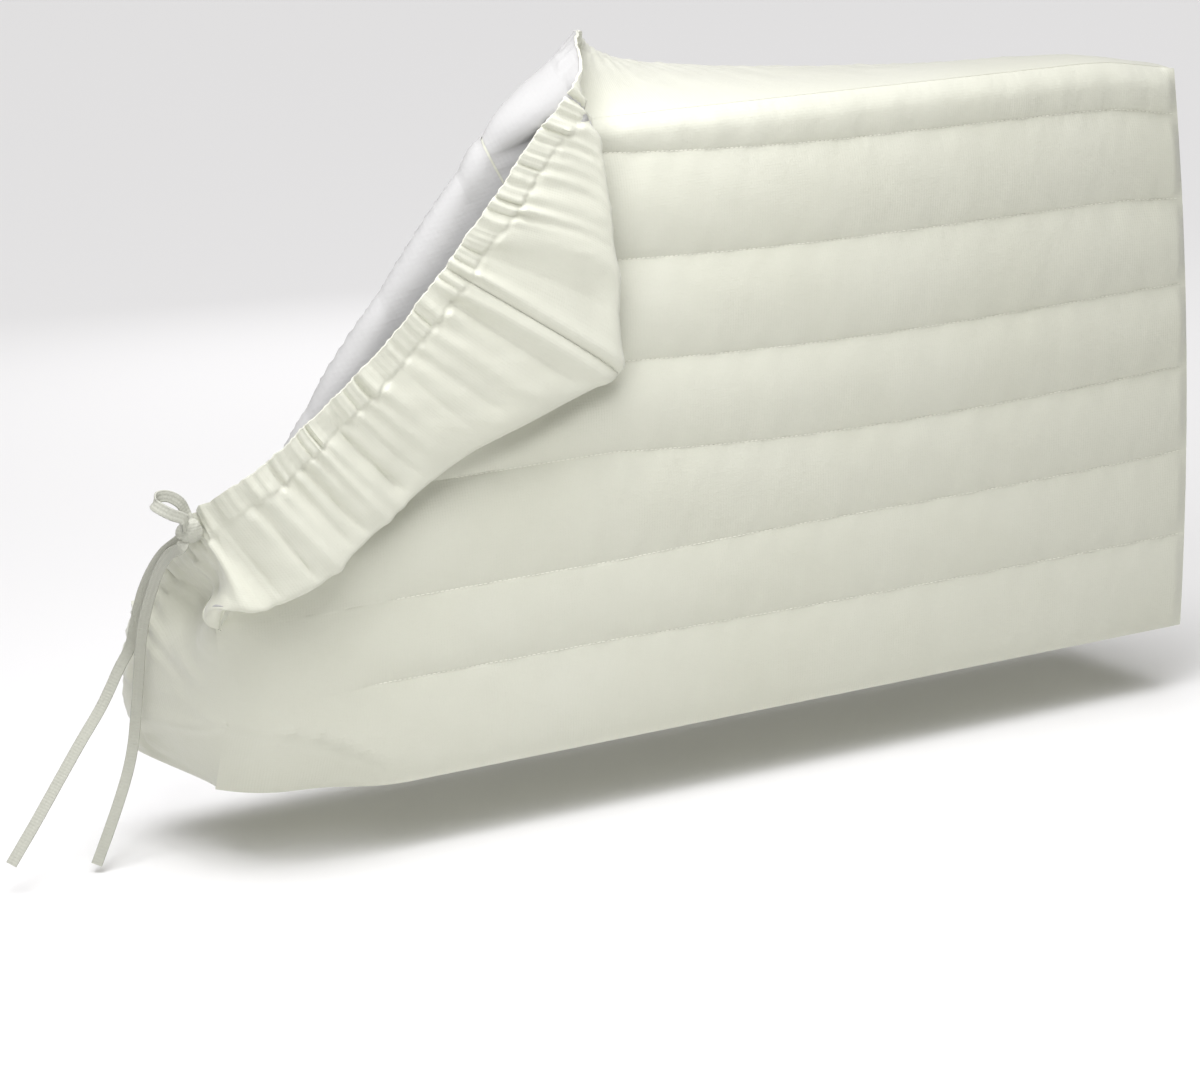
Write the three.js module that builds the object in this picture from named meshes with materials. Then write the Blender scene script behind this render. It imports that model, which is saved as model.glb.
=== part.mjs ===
// Quilted indoor cover for a window air conditioner, its top left corner folded down over the front.
// Millimetres, +Z up, front towards -Y, +X to the right. The origin is the top strip's underside, over the
// middle of the box.
//
// The cloth is laid out in the front panel's own terms first: u runs from the left edge to the right,
// h from the bottom edge up, v from the panel's plane backwards. place() turns those into X, Y and Z.
import * as THREE from "three";

// Driving sizes
const WIDTH = 690;
const HEIGHT = 391;
const DEPTH = 130;
const UNDERSIDE = 401.3; // height of the top strip's underside at the origin

const QUILT_SEAM = 1.8; // thickness of the quilt where it is stitched
const QUILT_PUFF = 6.2; // height that a channel adds between two seams
const LOW_FLAT = 0.4; // share of that height which the lower channels lack
const EDGE_PRESS = 9; // the quilt is pressed flat this near its sewn edge
const LEFT_PRESS = 90; // and thins out over this width towards the left edge
const LINING = 1;
const STRIP = 1.8; // thickness of the plain side strips, which are shell and lining together
const CLEAR = 0.4; // gap between two pieces that are sewn together
const LINING_CLEAR = 0.9; // the lining hangs this far behind the quilt
const SEAM_TRIM = 1.8; // each strip stops this short of a corner seam

const TAPE_WIDTH = 7;
const TAPE_THICK = 1.6;

// The fold of the corner runs from the top edge down to the left edge.
const FOLD_TOP_U = 190;
const FOLD_LEFT_H = 125;
const FOLD_RADIUS = 7.2;
const FOLD_BOW = 16; // the fold's soft edge stands out at most this far from its straight line
const FOLD_SAG = 14; // and falls back this far at its lower end
const FLAP_STRETCH = 1.137;
const FLAP_SLIP = 0.19;
const FLAP_TIP = { u: 265, h: 232 }; // where the box's corner points once it is folded over

// Stitched seams of the quilt, bottom to top: their height near the fold, in the middle and at the right
const SEAMS = [
  { left: 65.3, middle: 63.7, right: 65.5 },
  { left: 117, middle: 119.6, right: 124 },
  { left: 184, middle: 176, right: 182.5 },
  { left: 241, middle: 235, right: 240 },
  { left: 304, middle: 299, right: 301 },
  { left: 369, middle: 361.8, right: 360.5 },
];

// The strip around the box, station by station. "at" is the distance along the panel's edge, out and back say
// how the cloth leaves that edge, u h v is the hem there, and du dh dv say how the cloth comes in to the hem.
const TOP = [
  { at: 0, out: 14, back: 90, u: 680, h: 375, v: 128, du: -4, dh: -10, dv: 50 },
  { at: 50, out: 22, back: 95, u: 636, h: 380, v: 131, du: 0, dh: -10, dv: 60 },
  { at: 130, out: 22, back: 95, u: 560, h: 384, v: 132, du: 0, dh: -8, dv: 60 },
  { at: 220, out: 22, back: 95, u: 473, h: 391, v: 132, du: 0, dh: -6, dv: 60 },
  { at: 290, out: 24, back: 95, u: 402, h: 398, v: 132, du: 0, dh: -4, dv: 60 },
  { at: 350, out: 30, back: 90, u: 350, h: 406, v: 129, du: 0, dh: 0, dv: 60 },
  { at: 400, out: 45, back: 80, u: 320, h: 416, v: 118, du: 10, dh: 10, dv: 50 },
  { at: 445, out: 70, back: 55, u: 297, h: 428, v: 92, du: 20, dh: 20, dv: 35 },
  { at: 475, out: 75, back: 30, u: 275, h: 437, v: 50, du: 20, dh: 35, dv: 20 },
  { at: 492, out: 60, back: 10, u: 257, h: 441, v: 14, du: 20, dh: 40, dv: 0 },
  { at: 509, out: 70, back: 12, u: 246, h: 436, v: -9, du: 14, dh: 34, dv: -6 },
  { at: 523, out: 150, back: 24, u: 240, h: 421, v: -22, du: -8, dh: 20, dv: -4 },
  { at: 545, out: 270, back: 34, u: 227, h: 405, v: -25, du: -40, dh: 20, dv: -2 },
  { at: 580, out: 300, back: 40, u: 206, h: 385, v: -25, du: -46, dh: 26, dv: -2 },
  { at: 620, out: 270, back: 40, u: 183, h: 357, v: -26, du: -46, dh: 30, dv: -2 },
  { at: 655, out: 220, back: 36, u: 164, h: 337, v: -26, du: -44, dh: 32, dv: -2 },
  { at: 690, out: 70, back: 30, u: 147, h: 318, v: -26, du: -42, dh: 34, dv: -2 },
];
const LEFT = [
  { at: 0, out: 70, back: 30, u: 147, h: 318, v: -26, du: -42, dh: 34, dv: -2 },
  { at: 45, out: 100, back: 50, u: 118, h: 288, v: -26, du: -34, dh: 42, dv: -2 },
  { at: 90, out: 125, back: 30, u: 89, h: 262, v: -25, du: -28, dh: 46, dv: -2 },
  { at: 135, out: 180, back: 30, u: 60, h: 240, v: -24, du: -22, dh: 46, dv: -2 },
  { at: 175, out: 200, back: 60, u: 34, h: 220, v: -24, du: -18, dh: 42, dv: 0 },
  { at: 205, out: 200, back: 90, u: 12, h: 207, v: -21, du: -14, dh: 36, dv: 2 },
  { at: 232, out: 160, back: 80, u: -4, h: 193, v: -4, du: -4, dh: 30, dv: 8 },
  { at: 252, out: 120, back: 20, u: -8, h: 180, v: 14, du: -4, dh: 24, dv: 20 },
  { at: 275, out: 80, back: 6, u: -8, h: 160, v: 48, du: 0, dh: 16, dv: 34 },
  { at: 300, out: 76, back: 0, u: -9, h: 137, v: 84, du: 6, dh: 10, dv: 40 },
  { at: 330, out: 82, back: 0, u: -17, h: 103, v: 113, du: 10, dh: 4, dv: 44 },
  { at: 360, out: 78, back: 4, u: -24, h: 58, v: 127, du: 8, dh: 0, dv: 46 },
  { at: 391, out: 45, back: 60, u: -18, h: 7, v: 131, du: 0, dh: 0, dv: 50 },
];
const BOTTOM = [
  { at: 0, out: 45, back: 60, u: -18, h: 7, v: 131, du: 0, dh: 0, dv: 50 },
  { at: 70, out: 16, back: 90, u: 60, h: 10, v: 132, du: 0, dh: 8, dv: 50 },
  { at: 345, out: 16, back: 90, u: 345, h: 15, v: 133, du: 0, dh: 10, dv: 50 },
  { at: 620, out: 16, back: 90, u: 614, h: 14, v: 132, du: 0, dh: 10, dv: 50 },
  { at: 690, out: 14, back: 90, u: 680, h: 12, v: 128, du: -4, dh: 8, dv: 50 },
];
const RIGHT = [
  { at: 0, out: 14, back: 90, u: 680, h: 12, v: 128, du: -4, dh: 8, dv: 50 },
  { at: 80, out: 22, back: 90, u: 679, h: 86, v: 131, du: -8, dh: 0, dv: 50 },
  { at: 195, out: 24, back: 90, u: 677, h: 195, v: 133, du: -10, dh: 0, dv: 50 },
  { at: 320, out: 22, back: 90, u: 678, h: 308, v: 131, du: -8, dh: 0, dv: 50 },
  { at: 391, out: 14, back: 90, u: 680, h: 375, v: 128, du: -4, dh: -10, dv: 50 },
];

// Long folds that run from the hem towards the panel's edge: where they meet the edge, how deep a trough (or,
// below zero, how high a ridge), how wide, and the share of the strip's width, from the edge, that they cover
const TOP_FOLDS = [
  { at: 683, deep: -2.4, wide: 5, from: 0.04, to: 0.95 },
  { at: 664, deep: 4.2, wide: 11, from: 0.1, to: 0.78 },
  { at: 640, deep: -1.8, wide: 9, from: 0.15, to: 0.9 },
  { at: 604, deep: 1.8, wide: 9, from: 0.45, to: 1 },
];
const LEFT_FOLDS = [
  { at: 6, deep: -2.4, wide: 5, from: 0.04, to: 0.95 },
  { at: 15, deep: 3.4, wide: 4.5, from: 0.06, to: 0.8 },
  { at: 48, deep: 2.2, wide: 9, from: 0.3, to: 0.95 },
  { at: 92, deep: -1.8, wide: 8, from: 0.3, to: 0.9 },
  { at: 122, deep: 3, wide: 5, from: 0.16, to: 0.9 },
  { at: 140, deep: -2, wide: 8, from: 0.1, to: 0.9 },
  { at: 172, deep: 2.4, wide: 6, from: 0.2, to: 0.95 },
  { at: 196, deep: -2, wide: 7, from: 0.1, to: 0.9 },
];

const clamp = (x, low, high) => Math.min(high, Math.max(low, x));
const ease = (low, high, x) => {
  const t = clamp((x - low) / (high - low), 0, 1);
  return t * t * (3 - 2 * t);
};
const bump = (x, wide) => Math.exp(-((x / wide) ** 2));
const vec = (x, y, z) => new THREE.Vector3(x, y, z);

// The shared frame's X, Y and Z of a point given as u, h and v
const place = (p) => vec(p.x - WIDTH / 2, p.z - DEPTH / 2, p.y - UNDERSIDE);

// Fold geometry: along runs down the fold from the top edge, past is the distance beyond it, to the corner.
const foldLength = Math.hypot(FOLD_TOP_U, HEIGHT - FOLD_LEFT_H);
const foldRun = { u: FOLD_TOP_U / foldLength, h: (HEIGHT - FOLD_LEFT_H) / foldLength };
const TURN = Math.PI * FOLD_RADIUS;
const foldBow = (along) => {
  const risen = Math.min(FOLD_BOW, 3 + 0.075 * along);
  return risen - FOLD_SAG * ease(200, 330, along) - FOLD_RADIUS;
};

function foldTerms(u, h) {
  const du = u - FOLD_TOP_U;
  const dh = h - HEIGHT;
  const along = -(du * foldRun.u + dh * foldRun.h);
  const past = -du * foldRun.h + dh * foldRun.u;
  return { along, past, turned: past - foldBow(along) };
}

// The crease in the lower left corner, from the left edge down to the bottom edge
const CREASE_END = 120;
const CREASE_RIDGE = 2.4; // the crease stands out this far
const creaseHeight = (u) => 50 * (1 - (u / CREASE_END) ** 2);

const SOFT_REACH = 42; // the lower left edge turns back softly over this width
const SOFT_TURN = 0.95; // angle of that turn at the edge, radians
const SOFT_ABOVE = 175; // no turn above this height
const SOFT_BELOW = 75; // and the whole turn below this one
const CREASE_FOOT = 7; // the crease's ridge runs out at this distance on both sides

// The panel's sheet before the fold: its edges bow, its lower left edge turns back on an arc, and the corner
// below that gives way under a crease.
function flatSheet(u, h) {
  const right = (u / WIDTH) ** 4;
  const top = ease(0.5, 1, h / HEIGHT);
  const angle = Math.max(1e-3, SOFT_TURN * ease(SOFT_ABOVE, SOFT_BELOW, h));
  const share = clamp((SOFT_REACH - u) / SOFT_REACH, 0, 1.1);
  const pulledIn = SOFT_REACH * (share - Math.sin(angle * share) / angle);
  const turnedBack = (SOFT_REACH * (1 - Math.cos(angle * share))) / angle;
  const us = u + right * (3 - 2e-4 * (h - 150) ** 2) + pulledIn;
  const hs = h - 9 * top * ease(600, 700, u) ** 2 + 2 * ease(0.4, 0, h / HEIGHT) * bump(u, 30);
  const below = creaseHeight(u) - h;
  const reach = ease(CREASE_END, 60, u);
  const under = (0.6 * clamp(below, 0, 60) - CREASE_RIDGE * bump(below, 4.5)) * reach;
  return vec(us, hs, under + turnedBack);
}

// The panel's sheet with its corner folded over: flat, then half a turn, then back over itself.
function panelSheet(u, h) {
  const { along, turned } = foldTerms(u, h);
  if (turned <= 0) return flatSheet(u, h);
  const bow = foldBow(along);
  const turn = (Math.PI * Math.min(turned, TURN)) / TURN;
  const beyond = Math.max(0, turned - TURN);
  const across = bow + FOLD_RADIUS * Math.sin(turn) - FLAP_STRETCH * beyond;
  const down = along - FLAP_SLIP * beyond;
  const fu = FOLD_TOP_U - foldRun.u * down - foldRun.h * across;
  const fh = HEIGHT - foldRun.h * down + foldRun.u * across;
  return vec(fu, fh, -FOLD_RADIUS * (1 - Math.cos(turn)));
}

// The panel's point and directions, from a small step along u and a given one along h
const STEP = 0.05;
function panelFrame(u, h, reach = STEP) {
  const right = panelSheet(u + STEP, h).sub(panelSheet(u - STEP, h)).normalize();
  const up = panelSheet(u, h + reach).sub(panelSheet(u, h - reach)).normalize();
  const front = vec().crossVectors(up, right).normalize();
  return { at: panelSheet(u, h), right, up, front };
}

// 0 outside the folded flap's place on the panel, 1 well inside it
function underFlap(u, h) {
  const { turned } = foldTerms(u, h);
  if (turned > -14) return 1;
  const side = (a, b) => {
    const length = Math.hypot(b.u - a.u, b.h - a.h);
    return ((u - a.u) * (b.h - a.h) - (h - a.h) * (b.u - a.u)) / length;
  };
  const top = { u: FOLD_TOP_U, h: HEIGHT };
  const left = { u: 0, h: FOLD_LEFT_H };
  return ease(-10, 6, Math.min(side(FLAP_TIP, top) * -1, side(left, FLAP_TIP) * -1));
}

const seamHeight = (seam, u) => {
  const toLeft = clamp((460 - u) / 180, 0, 1.1) ** 2;
  const toRight = clamp((u - 460) / 225, 0, 1.1) ** 2;
  return seam.middle + (seam.left - seam.middle) * toLeft + (seam.right - seam.middle) * toRight;
};

// Thickness of the quilt: puffed channels between seams, pressed at the edges and under the flap
function quiltThickness(u, h) {
  const lines = [0, ...SEAMS.map((seam) => seamHeight(seam, u)), HEIGHT];
  let i = 0;
  while (i < lines.length - 2 && h > lines[i + 1]) i++;
  const share = clamp((h - lines[i]) / (lines[i + 1] - lines[i]), 0, 1);
  const full = Math.min(1, (lines[i + 1] - lines[i]) / 45) * (1 - LOW_FLAT * ease(230, 90, h));
  const edge = Math.min(WIDTH - u, h, HEIGHT - h);
  const pressed = ease(0, EDGE_PRESS, edge) * ease(0, LEFT_PRESS, u) * (1 - 0.7 * underFlap(u, h));
  return QUILT_SEAM + QUILT_PUFF * full * (4 * share * (1 - share)) ** 0.85 * pressed;
}

// Flat meshes: a grid of points and triangles that is cut along the fold and then given thickness
function gridMesh(us, hs, bend) {
  const points = [];
  const faces = [];
  hs.forEach((h) => us.forEach((u) => points.push([u, bend ? bend(u, h) : h])));
  for (let j = 0; j + 1 < hs.length; j++)
    for (let i = 0; i + 1 < us.length; i++) {
      const a = j * us.length + i;
      const c = a + us.length;
      faces.push([a, a + 1, c + 1], [a, c + 1, c]);
    }
  return { points, faces };
}

// Cuts the flat mesh along the line where value(u, h) is zero.
function sliceMesh({ points, faces }, value) {
  const near = 0.5;
  const at = points.map(([u, h]) => {
    const x = value(u, h);
    return Math.abs(x) < near ? 0 : x;
  });
  const made = new Map();
  const cross = (a, b) => {
    const key = a < b ? a + "_" + b : b + "_" + a;
    if (!made.has(key)) {
      const t = at[a] / (at[a] - at[b]);
      points.push([0, 1].map((k) => points[a][k] + t * (points[b][k] - points[a][k])));
      at.push(0);
      made.set(key, points.length - 1);
    }
    return made.get(key);
  };
  const out = [];
  for (const face of faces) {
    const signs = face.map((i) => Math.sign(at[i]));
    if (!(signs.includes(1) && signs.includes(-1))) {
      out.push(face);
      continue;
    }
    // Turn the face so that its first corner is alone on its side or lies on the line.
    const zero = signs.indexOf(0);
    const lone = zero >= 0 ? zero : signs.findIndex((s) => signs.filter((x) => x === s).length === 1);
    const [a, b, c] = [0, 1, 2].map((k) => face[(lone + k) % 3]);
    if (zero >= 0) {
      const m = cross(b, c);
      out.push([a, b, m], [a, m, c]);
    } else {
      const m = cross(a, b);
      const n = cross(a, c);
      out.push([a, m, n], [m, b, c], [m, c, n]);
    }
  }
  return { points, faces: out };
}

// Cuts the mesh along the crease and the two feet of its ridge, and along the fold's half turn from start to
// end in steps
function sliceAtFolds(mesh) {
  const cuts = [0, 0.2, 0.4, 0.6, 0.8, 1];
  const feet = [-CREASE_FOOT, 0, CREASE_FOOT];
  const slice = (m, foot) => sliceMesh(m, (u, h) => (u < CREASE_END ? h - creaseHeight(u) - foot : 1));
  const creased = feet.reduce(slice, mesh);
  return cuts.reduce((m, k) => sliceMesh(m, (u, h) => foldTerms(u, h).turned - k * TURN), creased);
}

// A closed solid from a flat mesh: front and back skins and a wall along the rim. Faces run anticlockwise
// seen from the front.
function sheetSolid({ points, faces }, front, back) {
  const used = [...new Set(faces.flat())];
  const index = new Map(used.map((p, i) => [p, i]));
  const n = used.length;
  const skin = (f) => used.map((p) => place(f(...points[p])));
  const all = [...skin(front), ...skin(back)];
  const tri = [];
  const rim = new Map();
  for (const face of faces) {
    const [a, b, c] = face.map((p) => index.get(p));
    tri.push(a, b, c, n + a, n + c, n + b);
    for (const [p, q] of [[a, b], [b, c], [c, a]]) {
      if (!rim.delete(q + "_" + p)) rim.set(p + "_" + q, [p, q]);
    }
  }
  for (const [p, q] of rim.values()) tri.push(p, n + p, q, q, n + p, n + q);
  return geometryOf(all, tri);
}

function geometryOf(vertices, triangles) {
  const geometry = new THREE.BufferGeometry();
  const numbers = vertices.flatMap((p) => [p.x, p.y, p.z]);
  geometry.setAttribute("position", new THREE.Float32BufferAttribute(numbers, 3));
  geometry.setIndex(triangles);
  geometry.computeVertexNormals();
  return geometry;
}

const spaced = (from, to, count) => {
  const step = (to - from) / count;
  return Array.from({ length: count + 1 }, (_, i) => from + i * step);
};

// Front panel: rows follow the seams, so that each channel is rounded
function frontPanel() {
  const shares = [0, 0.11, 0.32, 0.68, 0.89];
  const rowCount = (SEAMS.length + 1) * shares.length;
  const rows = spaced(0, rowCount, rowCount);
  const row = (k, u) => {
    const lines = [0, ...SEAMS.map((seam) => seamHeight(seam, u)), HEIGHT];
    const i = Math.min(Math.floor(k / shares.length), SEAMS.length);
    const share = k === rowCount ? 1 : shares[k % shares.length];
    return lines[i] + share * (lines[i + 1] - lines[i]);
  };
  const us = [0, 5, 12, 24, 38, ...spaced(56, 290, 8), 345, 400, 460, 530, 600, 650, 675, 684, WIDTH];
  const mesh = sliceAtFolds(gridMesh(us, rows, (u, k) => row(k, u)));
  const skin = (lift) => (u, h) => {
    const { at, front } = panelFrame(u, h);
    return at.addScaledVector(front, lift(u, h));
  };
  return sheetSolid(mesh, skin(quiltThickness), skin(() => 0));
}

// Lining behind the panel, which shows where the corner is folded over
function panelLining() {
  const inset = 2;
  const us = [inset, 5, 12, 24, 38, ...spaced(56, 290, 8), 420, 600, 660, WIDTH - inset];
  const hs = [inset, 20, 40, 60, 80, ...spaced(92, 176, 7), 220, 270, 320, 370, HEIGHT - inset];
  const mesh = sliceAtFolds(gridMesh(us, hs));
  const skin = (lift) => (u, h) => {
    const { at, front } = panelFrame(u, h);
    return at.addScaledVector(front, lift);
  };
  return sheetSolid(mesh, skin(-LINING_CLEAR), skin(-LINING_CLEAR - LINING));
}

// A row's columns at any place between its stations, on a smooth curve through them
function station(rows, at) {
  let i = 0;
  while (i < rows.length - 2 && at > rows[i + 1].at) i++;
  const [a, b] = [rows[i], rows[i + 1]];
  const span = b.at - a.at;
  const t = clamp((at - a.at) / span, 0, 1);
  const before = rows[i - 1] ?? a;
  const after = rows[i + 2] ?? b;
  const out = {};
  for (const key of Object.keys(a)) {
    const slopeA = i > 0 ? (b[key] - before[key]) / (b.at - before.at) : (b[key] - a[key]) / span;
    const last = i + 2 >= rows.length;
    const slopeB = last ? (b[key] - a[key]) / span : (after[key] - a[key]) / (after.at - a.at);
    const [h00, h10, h01, h11] = hermite(t);
    out[key] = h00 * a[key] + h10 * span * slopeA + h01 * b[key] + h11 * span * slopeB;
  }
  return out;
}

const hermite = (t) => [
  (1 + 2 * t) * (1 - t) ** 2,
  t * (1 - t) ** 2,
  t * t * (3 - 2 * t),
  t * t * (t - 1),
];

// The four sides of the strip: where a distance along the side lies on the panel, which way is outward and
// which way the side runs, both as shares of the panel's own right and up
const SIDES = {
  top: { rows: TOP, length: WIDTH, edge: (a) => [WIDTH - a, HEIGHT], out: [0, 1], run: [-1, 0] },
  left: { rows: LEFT, length: HEIGHT, edge: (a) => [0, HEIGHT - a], out: [-1, 0], run: [0, -1] },
  bottom: { rows: BOTTOM, length: WIDTH, edge: (a) => [a, 0], out: [0, -1], run: [1, 0] },
  right: { rows: RIGHT, length: HEIGHT, edge: (a) => [WIDTH, a], out: [1, 0], run: [0, 1] },
};
const CORNER_REACH = 30; // two sides share one direction at a corner and part over this length
const EDGE_REACH = 14; // the strip takes its direction from this much of the edge where the crease crosses it

// Outward from the panel's edge, turned towards the corner near a corner so that both sides meet there
function outwardAt(side, at, frame) {
  const toEnd = 1 - ease(0, CORNER_REACH, side.length - at);
  const toStart = 1 - ease(0, CORNER_REACH, at);
  const lean = toEnd - toStart;
  const [right, up] = [0, 1].map((k) => side.out[k] + lean * side.run[k]);
  return vec().addScaledVector(frame.right, right).addScaledVector(frame.up, up);
}

// A point of the strip's middle sheet, share 0 at the panel's edge and 1 at the hem
function stripSheet(side, at, share) {
  const s = station(side.rows, at);
  const [u, h] = side.edge(at);
  const frame = panelFrame(u, h, STEP + EDGE_REACH * ease(105, 75, h) * ease(0, 20, h) * ease(60, 20, u));
  const outward = outwardAt(side, at, frame);
  const start = frame.at
    .clone()
    .addScaledVector(frame.front, QUILT_SEAM / 2)
    .addScaledVector(outward, STRIP / 2 + CLEAR);
  const leave = outward.multiplyScalar(s.out).addScaledVector(frame.front, -s.back);
  const [h00, h10, h01, h11] = hermite(share);
  return start
    .multiplyScalar(h00)
    .addScaledVector(leave, h10)
    .addScaledVector(vec(s.u, s.h, s.v), h01)
    .addScaledVector(vec(s.du, s.dh, s.dv), h11);
}

// How far the gathers and long folds lift the strip off its middle sheet
function pleats(side, folds, gather, at, share) {
  const nearSeam = ease(0, 9, Math.min(at, side.length - at));
  const wave = Math.sin(at * gather.turns + 1.7 * Math.sin(at * 0.043) + 0.8 * Math.sin(at * 0.017));
  const drawn = Math.exp((share - 1) / 0.3) * ease(0, 0.2, share);
  let lift = gather.height * wave * drawn * nearSeam;
  for (const fold of folds) {
    const along = ease(fold.from, fold.from + 0.2, share) * ease(fold.to + 0.08, fold.to - 0.15, share);
    lift -= fold.deep * bump(at - fold.at, fold.wide) * along;
  }
  return lift;
}

const SHARE_STEP = 0.002; // step along a strip's width that gives its direction towards the hem

// One side of the strip as a solid sheet with its gathered hem
function stripSolid(side, folds, gather, columns, rows) {
  const ats = columns.map((a) => clamp(a, SEAM_TRIM, side.length - SEAM_TRIM));
  const mesh = gridMesh(ats, spaced(0, 1, rows));
  const sheet = (offset) => (at, share) => {
    const middle = stripSheet(side, at, share);
    const alongSide = stripSheet(side, at + STEP, share).sub(stripSheet(side, at - STEP, share));
    const inner = Math.min(share + SHARE_STEP, 1);
    const outer = Math.max(share - SHARE_STEP, 0);
    const toHem = stripSheet(side, at, inner).sub(stripSheet(side, at, outer));
    const outside = vec().crossVectors(alongSide, toHem).normalize();
    return middle.addScaledVector(outside, pleats(side, folds, gather, at, share) + offset);
  };
  return sheetSolid(mesh, sheet(-STRIP / 2), sheet(STRIP / 2));
}

// Columns spaced at one step up to a place, and at another past it
const columnsOf = (parts) => {
  const out = [parts[0].from];
  for (const { from, to, step } of parts) {
    const count = Math.round((to - from) / step);
    out.push(...spaced(from, to, count).slice(1));
  }
  return out;
};

// A flat tape along a curve; across(tangent) gives the direction of its width there
function tape(points, across, steps) {
  const curve = new THREE.CatmullRomCurve3(points.map(place), false, "centripetal");
  const corners = [];
  const triangles = [0, 1, 2, 0, 2, 3];
  for (let i = 0; i <= steps; i++) {
    const tangent = curve.getTangentAt(i / steps);
    const wide = across(tangent);
    wide.addScaledVector(tangent, -wide.dot(tangent)).setLength(TAPE_WIDTH / 2);
    const thick = vec().crossVectors(wide, tangent).setLength(TAPE_THICK / 2);
    const middle = curve.getPointAt(i / steps);
    for (const [a, b] of [[1, 1], [-1, 1], [-1, -1], [1, -1]]) {
      corners.push(middle.clone().addScaledVector(wide, a).addScaledVector(thick, b));
    }
    if (i === steps) break;
    for (let k = 0; k < 4; k++) {
      const [p, q] = [4 * i + k, 4 * i + ((k + 1) % 4)];
      triangles.push(p, q + 4, q, p, p + 4, q + 4);
    }
  }
  const last = 4 * steps;
  triangles.push(last, last + 2, last + 1, last, last + 3, last + 2);
  return geometryOf(corners, triangles);
}

// Finishes, from the photo
const FINISH = {
  shell: { color: 0xdfe0d0, roughness: 0.85, metalness: 0 },
  lining: { color: 0xeeeeec, roughness: 0.9, metalness: 0 },
  tape: { color: 0xdcddd0, roughness: 0.9, metalness: 0 },
};

const cover = new THREE.Group();
cover.name = "air_conditioner_cover";

function add(name, geometry, finish) {
  const mesh = new THREE.Mesh(geometry, new THREE.MeshStandardMaterial(FINISH[finish]));
  mesh.name = name;
  cover.add(mesh);
}

add("front_panel", frontPanel(), "shell");
add("panel_lining", panelLining(), "lining");

const fine = { turns: (2 * Math.PI) / 17, height: 1.7 };
const broad = { turns: (2 * Math.PI) / 34, height: 2.2 };
const topColumns = columnsOf([
  { from: 0, to: 440, step: 13 },
  { from: 440, to: 530, step: 5 },
  { from: 530, to: WIDTH, step: 3.6 },
]);
const leftColumns = columnsOf([
  { from: 0, to: 215, step: 3.6 },
  { from: 215, to: 265, step: 3.8 },
  { from: 265, to: HEIGHT, step: 8 },
]);
add("top_strip", stripSolid(SIDES.top, TOP_FOLDS, fine, topColumns, 9), "shell");
add("left_strip", stripSolid(SIDES.left, LEFT_FOLDS, fine, leftColumns, 9), "shell");
add("bottom_strip", stripSolid(SIDES.bottom, [], broad, spaced(0, WIDTH, 56), 4), "shell");
add("right_strip", stripSolid(SIDES.right, [], broad, spaced(0, HEIGHT, 38), 4), "shell");

// Tie: a knot at the hem, the small loop that stands out of it, and two free ends of flat tape that hang past
// the bottom edge
const KNOT = { at: vec(-13.5, 179.7, -2.5), wide: 8, deep: 6, high: 7 };
const TOUCH = 0.3; // gap between pieces that meet face to face
const knot = new THREE.SphereGeometry(1, 14, 10).scale(KNOT.wide, KNOT.deep, KNOT.high);
add("tie_knot", knot.applyMatrix4(new THREE.Matrix4().setPosition(place(KNOT.at))), "tape");

// A point off the knot's surface, in the direction given as u, h and v
function offKnot(u, h, v, gap) {
  const reach = 1 / Math.hypot(u / KNOT.wide, h / KNOT.high, v / KNOT.deep) + gap / Math.hypot(u, h, v);
  return vec(u, h, v).multiplyScalar(reach).add(KNOT.at);
}

const LOOP = [
  offKnot(-0.5, 0.5, -0.7, TOUCH),
  offKnot(-0.5, 0.5, -0.7, 3),
  vec(-19, 189, -11),
  vec(-26, 193, -12),
  vec(-32, 197, -11),
  vec(-35, 200, -7.5),
  vec(-32, 202.5, -4),
  vec(-25, 202, -3),
  vec(-18, 197, -3),
  offKnot(-0.1, 0.95, 0.1, 3),
  offKnot(-0.1, 0.95, 0.1, TOUCH),
];
const loopWidth = vec(0.45, 0.1, 0.88);
add("tie_loop", tape(LOOP, () => loopWidth.clone(), 22), "tape");

// The free ends show their broad side to the left and the front.
const endSide = vec(-0.45, -0.85, 0.25);
const endWidth = (tangent) => vec().crossVectors(tangent, endSide);
const RIGHT_END = [
  offKnot(-0.6, -0.8, -0.2, TOUCH),
  offKnot(-0.6, -0.8, -0.2, 4),
  vec(-23.5, 165, 7),
  vec(-24, 151, 28),
  vec(-24, 131, 50),
  vec(-25, 109, 67),
  vec(-26, 88, 77),
  vec(-27, 68, 83),
  vec(-29, 49, 86),
  vec(-33, 27, 86),
  vec(-38, 12, 84),
  vec(-46, -5, 81),
  vec(-55, -22, 78),
  vec(-66, -42, 75),
];
const LEFT_END = [
  offKnot(-0.5, -0.65, 0.6, TOUCH),
  offKnot(-0.5, -0.65, 0.6, 4),
  vec(-23.5, 164, 17),
  vec(-25, 148, 40),
  vec(-26, 127, 63),
  vec(-27, 104, 80),
  vec(-29, 88, 88),
  vec(-36, 75, 91),
  vec(-49, 54, 90),
  vec(-67, 34, 84),
  vec(-83, 16, 78),
  vec(-103, -7, 71),
  vec(-121, -27, 65),
];
add("tie_right_end", tape(RIGHT_END, endWidth, 40), "tape");
add("tie_left_end", tape(LEFT_END, endWidth, 40), "tape");

export default cover;
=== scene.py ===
"""Quilted air conditioner cover, its upper left corner folded down over the front, as a set of cloth pieces.

The cloth is worked out in the front panel's own terms: u runs from its left edge to the right, h from its
bottom edge up and v from its plane backwards, all in millimetres. place() turns those into X, Y and Z.
"""

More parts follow.
